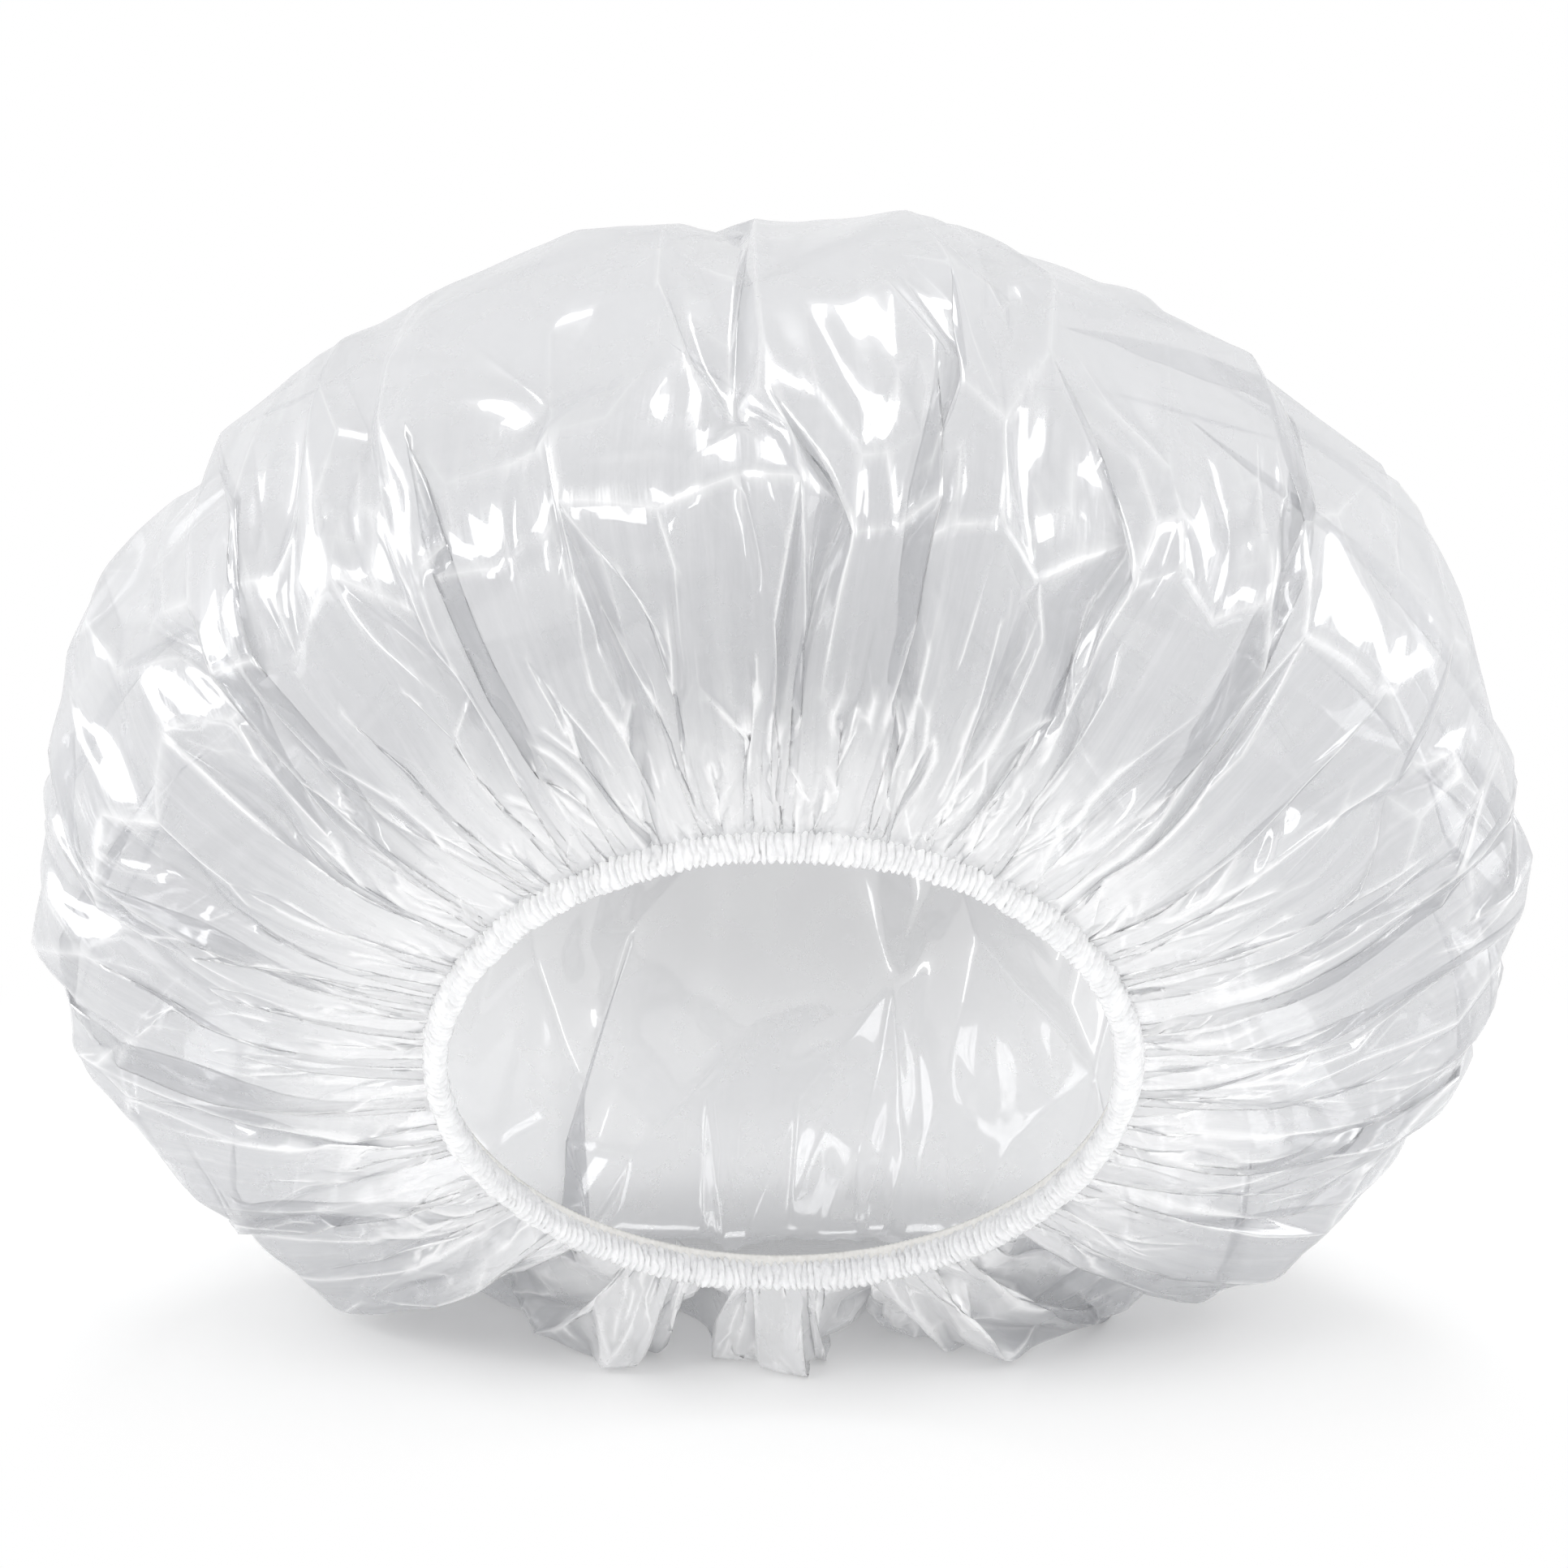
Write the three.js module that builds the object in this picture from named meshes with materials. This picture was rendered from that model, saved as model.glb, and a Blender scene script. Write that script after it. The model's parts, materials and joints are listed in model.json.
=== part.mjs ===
// Disposable shower cap: a disc of clear film, gathered by an elastic that runs in its hem.
// Millimetres, +Z up. The cap is puffed out and lies tipped back on a table, its opening
// to the front (-Y). Origin: middle of the bounding box, on the table.
import * as THREE from 'three';

// Driving sizes of the puffed cap
const RING_RADIUS = 56;        // middle of the hem, with the elastic at rest
const EQUATOR_RADIUS = 122.5;  // widest part of the cap
const SKIRT_DEPTH = 38;        // from the hem to the widest part
const CROWN_DEPTH = 93;        // from the widest part to the top of the crown
const FILM_WALL = 0.8;         // the thin film, thickened to a solid wall
const LEAN_DEGREES = 31.4;     // the opening looks this far below the horizontal
const SETTLE = 16;             // how far the round skirt flattens on the table
const SETTLE_EASE = 4;         // half height of the soft bend round that flat
const SAG = 11;                // slack of the skirt that hangs to the table below the opening

// Gathers and folds of the film
const PLEATS = 48;             // small gathers that the elastic draws at the hem
const PLEAT_HEIGHT = 1.9;      // their height where the skirt leaves the hem
const HEM_PLEAT_HEIGHT = 0.9;  // their height between the lips of the hem
const FOLD_HEIGHT = 2;         // depth of the creases between the pillowed folds, at mid skirt
const FRILL_DEPTH = 21.5;        // depth of the notches between the slack lobes under the opening
const FULLNESS = 0.75;         // power that rounds folds and lobes: under 1 is fuller than a sine
const FOLD_SHARE_IN = 0.65;    // share of a fold's depth that lies inside the round form
const FRILL_SHARE_IN = 0.9;    // share of the frill's depth that lies inside it
const CORNER_STAND = 3.4;      // how far the corners of the puffed film stand off its round form
const FLAT_DEPTH = 6;          // most that a flat between corners cuts into the round form
const SKIRT_ROWS = 8;
const CROWN_ROWS = 8;

// Creases between the folds, in degrees round the cap from its lowest line
const NOTCHES = [-166, -142, -119, -97, -76, -54, -31.5, -11.5, 11, 38, 61, 84, 107, 131, 155];

// Corners where the film stands out: degrees from the lowest line, and the way from hem to top
const FRONT_CORNERS = [
  [-161, 1.29], [172, 1.14], [164, 1.42], [146, 1.2], [123, 1.22], [109, 1.08], [93.5, 0.96],
  [78.5, 0.84], [66, 0.76], [49.5, 0.66], [-56, 0.69], [-72, 0.79], [-84, 0.88], [-96, 0.98],
  [-114, 1.13], [-140, 1.2], [-176, 0.68], [163, 0.72], [131, 0.79], [113, 0.7], [-152, 0.74],
  [-124, 0.66], [-107, 0.58],
];

// Rows of corners at the hem and round the far side: way, count and reach in degrees
const CORNER_ROWS = [
  [0.1, 15, 168], [0.64, 4, 34], [1.02, 6, 62], [1.36, 8, 122], [1.62, 9, 160], [1.84, 5, 144],
];
const CORNER_DRIFT = 6;        // degrees that a corner of a row lies off its even place
const CORNER_WAY_DRIFT = 0.04; // and how far it lies up or down its row

// Elastic and its hem
const ELASTIC_WIDTH = 3;
const ELASTIC_THICKNESS = 0.6;
const ELASTIC_LAP = 16;        // how far the two ends of the elastic pass each other
const SPLICE_LENGTH = 11;      // wrap that holds the lapped ends
const SPLICE_WALL = 0.3;
const HEM_WALL = 0.6;          // the layers of film that are folded over the elastic
const HEM_LIP = 1.4;           // welded margin outside the channel
const HEM_RIB = 0.35;          // how far the gathers stand proud of the channel
const HEM_SIDES = 8;           // facets round the outside of the channel
const HEM_BORE_SIDES = 8;      // facets round its bore
const CLEARANCE = 0.3;         // running gap between pieces that touch

// Sizes that follow from these
const lean = THREE.MathUtils.degToRad(LEAN_DEGREES);
const COLUMNS = 2 * PLEATS;
const COLUMN_STEP = 2 * Math.PI / COLUMNS;
const lapSpread = ELASTIC_THICKNESS + CLEARANCE;
const lapHalf = (lapSpread + ELASTIC_THICKNESS) / 2;
const elasticHalf = ELASTIC_WIDTH / 2;
const spliceBoreDepth = lapHalf + CLEARANCE;
const spliceBoreHeight = elasticHalf + CLEARANCE;
const spliceDepth = spliceBoreDepth + SPLICE_WALL;
const spliceHeight = spliceBoreHeight + SPLICE_WALL;
const boreFacet = Math.cos(Math.PI / HEM_BORE_SIDES);
const hemBore = (Math.hypot(lapHalf, elasticHalf) + CLEARANCE) / boreFacet;
const hemBoreAtSplice = (Math.hypot(spliceDepth, spliceHeight) + CLEARANCE) / boreFacet;
const slotHalf = FILM_WALL / 2 + CLEARANCE;
const filmEdgeRadius = RING_RADIUS + hemBoreAtSplice + HEM_WALL;
const lipRadius = filmEdgeRadius + HEM_RIB + HEM_LIP;

const smoothstep = THREE.MathUtils.smoothstep;

// Each fold swells between two creases: 0 at a crease, 1 in the middle
function pillow(angle) {
  const turn = (degrees) => THREE.MathUtils.euclideanModulo(degrees, 360);
  const fromLowest = 90 - THREE.MathUtils.radToDeg(angle);
  const next = NOTCHES.reduce((near, notch) => (
    turn(notch - fromLowest) < turn(near - fromLowest) ? notch : near
  ));
  const last = NOTCHES.reduce((near, notch) => (
    turn(fromLowest - notch) < turn(fromLowest - near) ? notch : near
  ));
  const share = turn(fromLowest - last) / (turn(fromLowest - last) + turn(next - fromLowest) || 1);
  return Math.sin(Math.PI * share);
}

// Small gathers turn in and out from one column to the next, some deeper than others
function gather(column) {
  const angle = column * COLUMN_STEP;
  const depth = 0.8 + 0.2 * Math.sin(7 * angle + 0.4);
  return (column % 2 ? 1 : -1) * depth;
}

// Meridian of the cap: way runs from 0 at the hem, by 1 at the widest part, to 2 at the top
function meridian(way) {
  const bend = (way < 1 ? way : way - 1) * Math.PI / 2;
  const flare = EQUATOR_RADIUS - lipRadius;
  if (way < 1) {
    const point = new THREE.Vector2(lipRadius + flare * Math.sin(bend), SKIRT_DEPTH * (1 - Math.cos(bend)));
    const normal = new THREE.Vector2(Math.sin(bend) / flare, -Math.cos(bend) / SKIRT_DEPTH);
    return { point, normal: normal.normalize() };
  }
  const point = new THREE.Vector2(
    EQUATOR_RADIUS * Math.cos(bend),
    SKIRT_DEPTH + CROWN_DEPTH * Math.sin(bend),
  );
  const normal = new THREE.Vector2(Math.cos(bend) / EQUATOR_RADIUS, Math.sin(bend) / CROWN_DEPTH);
  return { point, normal: normal.normalize() };
}

// A point of the round form and the direction that it faces
function onRound(angle, way, stand) {
  const { point, normal } = meridian(way);
  const facing = new THREE.Vector3(normal.x * Math.cos(angle), normal.x * Math.sin(angle), normal.y);
  const place = new THREE.Vector3(point.x * Math.cos(angle), point.x * Math.sin(angle), point.y);
  return { place: place.addScaledVector(facing, stand), facing };
}

function cornerPoints() {
  const corners = [...FRONT_CORNERS];
  CORNER_ROWS.forEach(([way, count, reach], row) => {
    for (let k = 0; k < count; k += 1) {
      const even = reach * (2 * k / (count - 1) - 1);
      const drift = CORNER_DRIFT * Math.sin(3 * k + 5 * row);
      corners.push([even + drift, way + CORNER_WAY_DRIFT * Math.sin(7 * k + row)]);
    }
  });
  return corners.map(([degrees, way]) => (
    onRound(THREE.MathUtils.degToRad(90 - degrees), way, CORNER_STAND).place
  ));
}

// Stretched film lies flat between its corners: these are the planes of their hull
function flatPlanes(corners) {
  const planes = [];
  const plane = new THREE.Plane();
  const holdsAll = (side) => corners.every((corner) => side * plane.distanceToPoint(corner) < 1e-6);
  for (let i = 0; i < corners.length; i += 1) {
    for (let j = i + 1; j < corners.length; j += 1) {
      for (let k = j + 1; k < corners.length; k += 1) {
        plane.setFromCoplanarPoints(corners[i], corners[j], corners[k]);
        if (holdsAll(1)) planes.push(plane.clone());
        if (holdsAll(-1)) planes.push(plane.clone().negate());
      }
    }
  }
  return planes;
}

const flats = flatPlanes(cornerPoints());
const LEAST_FACING = 0.2;      // flats that look further away than this can't lie over a point

// How far the flats stand off the round form
function flatStand(angle, way) {
  const { place, facing } = onRound(angle, way, 0);
  let stand = CORNER_STAND;
  flats.forEach((flat) => {
    const towards = flat.normal.dot(facing);
    if (towards > LEAST_FACING) stand = Math.min(stand, -flat.distanceToPoint(place) / towards);
  });
  return Math.max(stand, -FLAT_DEPTH) * smoothstep(way, 0.1, 0.45);
}

// How far the film stands off its smooth meridian
function relief(column, way) {
  const angle = column * COLUMN_STEP;
  const under = Math.max(0, Math.sin(angle));
  const sag = SAG * under ** 2 * smoothstep(way, 0, 0.3) * (1 - smoothstep(way, 0.3, 1));
  const pleatRise = smoothstep(way, 0, 0.25);
  const pleatFade = 1 - smoothstep(way, 0.25, 0.9);
  const pleatHeight = THREE.MathUtils.lerp(HEM_PLEAT_HEIGHT, PLEAT_HEIGHT, pleatRise) * pleatFade;
  const slack = smoothstep(Math.sin(angle), 0.55, 0.88);
  const frillRange = smoothstep(way, 0, 0.2) * (1 - smoothstep(way, 0.34, 0.8));
  const swell = pillow(angle) ** FULLNESS;
  const frill = FRILL_DEPTH * slack * frillRange * (swell - FRILL_SHARE_IN);
  const foldRange = smoothstep(way, 0, 0.5) * (1 - smoothstep(way, 0.4, 1.45));
  const fold = FOLD_HEIGHT * (1 - slack) * foldRange * (swell - FOLD_SHARE_IN);
  return sag + pleatHeight * gather(column) + frill + fold + flatStand(angle, way);
}

// The cap's own frame, tipped back on the table: its axis is +Z of this group
const opening = new THREE.Group();
opening.rotation.x = lean - Math.PI / 2;

function lowestOfSmoothSkirt() {
  let lowest = Infinity;
  for (let way = 0; way <= 1; way += 0.01) {
    const { point } = meridian(way);
    lowest = Math.min(lowest, point.y * Math.sin(lean) - point.x * Math.cos(lean));
  }
  return lowest;
}

opening.position.z = -lowestOfSmoothSkirt() - SETTLE;
opening.updateMatrix();

// The table bears the skirt up: heights ease into a flat at zero
function settle(height) {
  if (height >= SETTLE_EASE) return height;
  if (height <= -SETTLE_EASE) return 0;
  return (height + SETTLE_EASE) ** 2 / (4 * SETTLE_EASE);
}

function onTable(radius, column, height, floor) {
  const angle = column * COLUMN_STEP;
  const point = new THREE.Vector3(radius * Math.cos(angle), radius * Math.sin(angle), height);
  point.applyMatrix4(opening.matrix);
  point.z = floor + settle(point.z - floor);
  return point;
}

// Closed skin over rings of points: a ring is an array round the axis, a pole a single point
function skinRings(rings) {
  const positions = [];
  const face = (...corners) => corners.forEach((corner) => positions.push(...corner.toArray()));
  const at = (ring, column) => (Array.isArray(ring) ? ring[column % COLUMNS] : ring);
  rings.forEach((ring, index) => {
    const next = rings[(index + 1) % rings.length];
    for (let column = 0; column < COLUMNS; column += 1) {
      if (Array.isArray(ring)) face(at(ring, column), at(ring, column + 1), at(next, column + 1));
      if (Array.isArray(next)) face(at(ring, column), at(next, column + 1), at(next, column));
    }
  });
  return withPositions(positions);
}

// Closed solid between the first and last of a row of like sections
function sweepSections(sections, outline) {
  const positions = [];
  const face = (...corners) => corners.forEach((corner) => positions.push(...corner.toArray()));
  for (let step = 0; step + 1 < sections.length; step += 1) {
    const here = sections[step];
    const there = sections[step + 1];
    here.forEach((corner, index) => {
      const next = (index + 1) % here.length;
      face(corner, there[index], there[next]);
      face(corner, there[next], here[next]);
    });
  }
  const first = sections[0];
  const last = sections[sections.length - 1];
  THREE.ShapeUtils.triangulateShape(outline, []).forEach(([a, b, c]) => {
    face(first[a], first[b], first[c]);
    face(last[c], last[b], last[a]);
  });
  return withPositions(positions);
}

function withPositions(positions) {
  const geometry = new THREE.BufferGeometry();
  geometry.setAttribute('position', new THREE.Float32BufferAttribute(positions, 3));
  geometry.computeVertexNormals();
  return geometry;
}

// One disc of film: flat between the lips of the hem, gathered in the skirt, smooth at the crown
function crownFilm() {
  const columns = Array.from({ length: COLUMNS }, (_, column) => column);
  const ways = [];
  for (let row = 0; row < SKIRT_ROWS; row += 1) ways.push(row / SKIRT_ROWS);
  for (let row = 0; row < CROWN_ROWS; row += 1) ways.push(1 + row / CROWN_ROWS);
  const side = (offset, floor) => [
    columns.map((column) => onTable(filmEdgeRadius, column, -relief(column, 0) - offset, floor)),
    ...ways.map((way) => columns.map((column) => {
      const { point, normal } = meridian(way);
      const stand = relief(column, way) + offset;
      return onTable(point.x + stand * normal.x, column, point.y + stand * normal.y, floor);
    })),
    onTable(0, 0, SKIRT_DEPTH + CROWN_DEPTH + relief(0, 2) + offset, floor),
  ];
  const outside = side(FILM_WALL / 2, 0);
  const inside = side(-FILM_WALL / 2, FILM_WALL);
  return skinRings([...outside, ...inside.reverse()]);
}

// The hem swells, and its gathers lie smooth, where the splice of the elastic sits in it
function spliceSwell(column) {
  const turn = Math.abs(THREE.MathUtils.euclideanModulo(column + PLEATS, COLUMNS) - PLEATS);
  const spliceColumns = SPLICE_LENGTH / 2 / RING_RADIUS / COLUMN_STEP + 1;
  return 1 - smoothstep(turn, spliceColumns, 3 * spliceColumns);
}

// Edge of the film folded over the elastic: a channel with two lips that hold the film
function hemCasing() {
  const arc = (radius, mouth, shift, steps, step) => {
    const gap = Math.asin(mouth / radius);
    const angle = gap + (2 * Math.PI - 2 * gap) * step / steps;
    const atLip = step === 0 || step === steps;
    return [RING_RADIUS + radius * Math.cos(angle), radius * Math.sin(angle) + (atLip ? shift : 0)];
  };
  const section = (column) => {
    const swell = spliceSwell(column);
    const bore = THREE.MathUtils.lerp(hemBore, hemBoreAtSplice, swell);
    const rib = HEM_RIB * gather(column) * (1 - swell);
    const shift = -HEM_PLEAT_HEIGHT * gather(column);
    const lipHalf = slotHalf + HEM_WALL;
    const points = [];
    for (let step = 0; step <= HEM_SIDES; step += 1) {
      points.push(arc(bore + HEM_WALL + rib, lipHalf, shift, HEM_SIDES, step));
    }
    points.push([lipRadius, shift - lipHalf], [lipRadius, shift - slotHalf]);
    for (let step = HEM_BORE_SIDES; step >= 0; step -= 1) {
      points.push(arc(bore, slotHalf, shift, HEM_BORE_SIDES, step));
    }
    points.push([lipRadius, shift + slotHalf], [lipRadius, shift + lipHalf]);
    return points;
  };
  const sections = Array.from({ length: COLUMNS }, (_, column) => section(column));
  const rings = sections[0].map((_, index) => sections.map((points, column) => {
    const [radius, height] = points[index];
    const angle = column * COLUMN_STEP;
    return new THREE.Vector3(radius * Math.cos(angle), radius * Math.sin(angle), height);
  }));
  return skinRings(rings);
}

function ringSection(outline, angle, radius) {
  return outline.map(({ x, y }) => new THREE.Vector3(
    (radius + x) * Math.cos(angle),
    (radius + x) * Math.sin(angle),
    y,
  ));
}

// Flat elastic, one turn round the ring; its ends pass each other at +X
function elasticBand() {
  const half = ELASTIC_THICKNESS / 2;
  const outline = [
    new THREE.Vector2(half, -elasticHalf),
    new THREE.Vector2(half, elasticHalf),
    new THREE.Vector2(-half, elasticHalf),
    new THREE.Vector2(-half, -elasticHalf),
  ];
  const lapAngle = ELASTIC_LAP / RING_RADIUS;
  const turn = 2 * Math.PI + lapAngle;
  const sections = Array.from({ length: COLUMNS + 1 }, (_, step) => {
    const share = step / COLUMNS;
    return ringSection(outline, share * turn - lapAngle / 2, RING_RADIUS + (share - 0.5) * lapSpread);
  });
  return sweepSections(sections, outline);
}

// Wrap of film tape round the lapped ends, with a slit where the tape's edges meet
function elasticSplice() {
  const slit = CLEARANCE;
  const outline = [
    [spliceDepth, slit], [spliceDepth, spliceHeight],
    [-spliceDepth, spliceHeight], [-spliceDepth, -spliceHeight],
    [spliceDepth, -spliceHeight], [spliceDepth, -slit],
    [spliceBoreDepth, -slit], [spliceBoreDepth, -spliceBoreHeight],
    [-spliceBoreDepth, -spliceBoreHeight], [-spliceBoreDepth, spliceBoreHeight],
    [spliceBoreDepth, spliceBoreHeight], [spliceBoreDepth, slit],
  ].map(([x, y]) => new THREE.Vector2(x, y));
  const steps = 4;
  const spliceAngle = SPLICE_LENGTH / RING_RADIUS;
  const sections = Array.from({ length: steps + 1 }, (_, step) => (
    ringSection(outline, (step / steps - 0.5) * spliceAngle, RING_RADIUS)
  ));
  return sweepSections(sections, outline);
}

const clearFilm = new THREE.MeshStandardMaterial({
  color: 0xdcdde1, roughness: 0.18, metalness: 0, transparent: true, opacity: 0.4,
});
const gatheredFilm = new THREE.MeshStandardMaterial({ color: 0xf1f1f3, roughness: 0.35, metalness: 0 });
const wovenElastic = new THREE.MeshStandardMaterial({ color: 0xf3f1ea, roughness: 0.85, metalness: 0 });
const tapeFilm = new THREE.MeshStandardMaterial({ color: 0xe6e7ea, roughness: 0.3, metalness: 0 });

function piece(name, geometry, material) {
  const mesh = new THREE.Mesh(geometry, material);
  mesh.name = name;
  return mesh;
}

opening.add(
  piece('hem_casing', hemCasing(), gatheredFilm),
  piece('elastic_band', elasticBand(), wovenElastic),
  piece('elastic_splice', elasticSplice(), tapeFilm),
);

const cap = new THREE.Group();
cap.add(piece('crown_film', crownFilm(), clearFilm), opening);

const box = new THREE.Box3().setFromObject(cap);
const middle = box.getCenter(new THREE.Vector3());
cap.position.set(-middle.x, -middle.y, -box.min.z);

export default cap;
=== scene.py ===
# %% [markdown]
# A clear film shower cap lies tipped back on a white table, puffed out, with its gathered opening
# to the front. The real cap is one disc of thin film and one closed elastic. The edge of the disc
# is folded over the elastic and welded, and the slack elastic draws it into hundreds of gathers.
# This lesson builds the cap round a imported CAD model, which gives every piece its place.

import itertools
import json
import math

import bpy
import numpy as np
from mathutils import Matrix, Vector


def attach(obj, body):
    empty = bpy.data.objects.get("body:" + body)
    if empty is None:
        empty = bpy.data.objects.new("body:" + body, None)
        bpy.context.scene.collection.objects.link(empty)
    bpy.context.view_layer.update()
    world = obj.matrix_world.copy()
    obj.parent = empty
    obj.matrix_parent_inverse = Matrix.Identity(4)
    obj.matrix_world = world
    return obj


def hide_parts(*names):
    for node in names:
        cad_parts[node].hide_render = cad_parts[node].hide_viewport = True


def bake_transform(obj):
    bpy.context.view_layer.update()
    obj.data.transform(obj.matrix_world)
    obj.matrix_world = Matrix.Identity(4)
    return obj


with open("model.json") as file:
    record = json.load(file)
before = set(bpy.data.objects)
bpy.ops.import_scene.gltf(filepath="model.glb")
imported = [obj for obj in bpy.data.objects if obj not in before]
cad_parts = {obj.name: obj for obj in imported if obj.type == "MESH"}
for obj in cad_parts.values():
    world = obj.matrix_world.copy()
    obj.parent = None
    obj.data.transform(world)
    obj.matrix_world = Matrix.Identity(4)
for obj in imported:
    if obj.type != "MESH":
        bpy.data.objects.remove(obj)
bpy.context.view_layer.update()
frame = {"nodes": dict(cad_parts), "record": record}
scene = bpy.context.scene
scene.view_settings.view_transform = "Standard"
scene.cycles.transparent_max_bounces = 64
scene.cycles.max_bounces = 16
print("nodes:", sorted(frame["nodes"]))

# %% [markdown]
# The camera looks a little down into the opening. A long lens keeps the round hem a clean ellipse.
# Its place was found by fitting the hem and the outline of the cap together.

# %% Camera
CAMERA_PLACE = Vector((0.0, -1.0786, 0.4486))
CAMERA_AIM = Vector((0.0, -0.0297, 0.1141))
SENSOR_WIDTH = 36.0
PICTURE_WIDTH = 1932
FOCAL_PIXELS = 8327

camera_data = bpy.data.cameras.new("camera")
camera_data.sensor_width = SENSOR_WIDTH
camera_data.lens = SENSOR_WIDTH * FOCAL_PIXELS / PICTURE_WIDTH
camera = bpy.data.objects.new("camera", camera_data)
camera.location = CAMERA_PLACE
camera.rotation_euler = (CAMERA_AIM - CAMERA_PLACE).to_track_quat("-Z", "Y").to_euler()
scene.collection.objects.link(camera)
scene.camera = camera
print("lens:", round(camera_data.lens, 1), "mm")

# %% [markdown]
# Finishes are sums of masks and noises, so it helps to write them as sums. One small class wraps
# a socket, and its operators add Math nodes. Another holds a material and adds any other node.

# %% Sockets that can be added and multiplied
class Wire:
    def __init__(self, tree, socket):
        self.tree = tree
        self.socket = socket

    def math(self, operation, first, second):
        node = self.tree.nodes.new("ShaderNodeMath")
        node.operation = operation
        for slot, value in zip(node.inputs, (first, second)):
            if isinstance(value, Wire):
                self.tree.links.new(value.socket, slot)
            else:
                slot.default_value = value
        return Wire(self.tree, node.outputs[0])

    def __add__(self, other):
        return self.math("ADD", self, other)

    def __radd__(self, other):
        return self.math("ADD", other, self)

    def __sub__(self, other):
        return self.math("SUBTRACT", self, other)

    def __rsub__(self, other):
        return self.math("SUBTRACT", other, self)

    def __mul__(self, other):
        return self.math("MULTIPLY", self, other)

    def __rmul__(self, other):
        return self.math("MULTIPLY", other, self)

    def __pow__(self, other):
        return self.math("POWER", self, other)


# %% Nodes and finishes
def add_node(tree, kind, settings=None, sockets=None, out=0):
    node = tree.nodes.new(kind)
    for name, value in (settings or {}).items():
        if name == "stops":
            ramp = node.color_ramp.elements
            while len(ramp) < len(value):
                ramp.new(0.5)
            for stop, (place, colour) in zip(ramp, value):
                stop.position = place
                stop.color = colour
        else:
            setattr(node, name, value)
    for name, value in (sockets or {}).items():
        if isinstance(value, Wire):
            tree.links.new(value.socket, node.inputs[name])
        else:
            node.inputs[name].default_value = value
    return Wire(tree, node.outputs[out]) if len(node.outputs) else node


class Finish:
    def __init__(self, name):
        self.material = bpy.data.materials.new(name)
        self.material.use_nodes = True
        self.tree = self.material.node_tree
        self.tree.nodes.clear()

    def node(self, kind, settings=None, sockets=None, out=0):
        return add_node(self.tree, kind, settings, sockets, out)

    def show(self, shader):
        self.node("ShaderNodeOutputMaterial", sockets={"Surface": shader})
        print("finish:", self.material.name, len(self.tree.nodes), "nodes")
        return self.material


# %% Masks and noises
def mask(holder, value, low, high):
    return holder.node("ShaderNodeMapRange", {"interpolation_type": "SMOOTHSTEP"}, {
        "Value": value, "From Min": low, "From Max": high})


def noise(holder, place, scale, detail, roughness=0.5):
    return holder.node("ShaderNodeTexNoise", sockets={
        "Vector": place, "Scale": scale, "Detail": detail, "Roughness": roughness}, out="Fac")


def distance(holder, place, middle):
    return holder.node("ShaderNodeVectorMath", {"operation": "DISTANCE"}, {
        "Vector": place, 1: middle}, out="Value")


def grey(tone):
    return (tone, tone, tone, 1.0)


# %% [markdown]
# The table is plain white and so is everything behind it. It glows a little, which hides its edge
# but keeps the shadow, and past an oval round the cap it is pure white. Close under the film its
# colour is darkened by ambient occlusion: a painted shadow where little light comes in.

# %% Table
TABLE_HALF = 4.0
TABLE_GLOW = 0.125
CONTACT_REACH = 0.030
PAINTED_SHADOW_TONE = 0.78
OPEN_TONE = 0.915
# The oval: how its place is squeezed and moved, and where the white sets in
OVAL_SQUEEZE = (0.62, 1.0, 1.0)
OVAL_SHIFT = (0.0, -0.08, 0.0)
WHITE_FROM = 0.065
WHITE_TO = 0.15


def looked_at_by(rays):
    kinds = rays.socket.node.outputs
    seen = Wire(rays.tree, kinds["Is Camera Ray"])
    for name in ("Is Glossy Ray", "Is Transmission Ray"):
        seen = seen.math("MAXIMUM", seen, Wire(rays.tree, kinds[name]))
    return seen


table_finish = Finish("white_table")
table_cloud = table_finish.node(
    "ShaderNodeTexNoise", sockets={"Scale": 3.0, "Detail": 2.0}, out="Fac")
# Painted shadow: ambient occlusion darkens the table's colour close under the film
table_shadow_occlusion = table_finish.node(
    "ShaderNodeAmbientOcclusion", {"samples": 12}, {"Distance": CONTACT_REACH}, out="AO")
table_tone = table_finish.node("ShaderNodeValToRGB", {"stops": [
    (0.25, grey(PAINTED_SHADOW_TONE)), (0.75, grey(OPEN_TONE))]}, {"Fac": table_shadow_occlusion})
table_surface = table_finish.node("ShaderNodeBsdfPrincipled", sockets={
    "Base Color": table_tone,
    "Roughness": 0.75 + 0.1 * table_cloud,
    "Specular IOR Level": 0.2,
    "Emission Color": grey(1.0),
    "Emission Strength": TABLE_GLOW,
})
table_place = table_finish.node("ShaderNodeTexCoord", out="Object")
table_place = table_finish.node("ShaderNodeVectorMath", {"operation": "MULTIPLY_ADD"}, {
    "Vector": table_place, 1: OVAL_SQUEEZE, 2: OVAL_SHIFT})
table_reach = table_finish.node(
    "ShaderNodeVectorMath", {"operation": "LENGTH"}, {"Vector": table_place}, out="Value")
table_far = mask(table_finish, table_reach, WHITE_FROM, WHITE_TO)
table_seen = looked_at_by(table_finish.node("ShaderNodeLightPath"))
table_white = table_finish.node("ShaderNodeEmission", sockets={"Strength": table_seen})
table_mix = table_finish.node("ShaderNodeMixShader", sockets={
    0: table_far * table_seen, 1: table_surface, 2: table_white})
table_material = table_finish.show(table_mix)

table_mesh = bpy.data.meshes.new("table")
table_corners = [(-TABLE_HALF, -TABLE_HALF), (TABLE_HALF, -TABLE_HALF),
                 (TABLE_HALF, TABLE_HALF), (-TABLE_HALF, TABLE_HALF)]
table_mesh.from_pydata([(x, y, 0.0) for x, y in table_corners], [], [(0, 1, 2, 3)])
table_mesh.materials.append(table_material)
table = bpy.data.objects.new("table", table_mesh)
scene.collection.objects.link(table)

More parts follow.
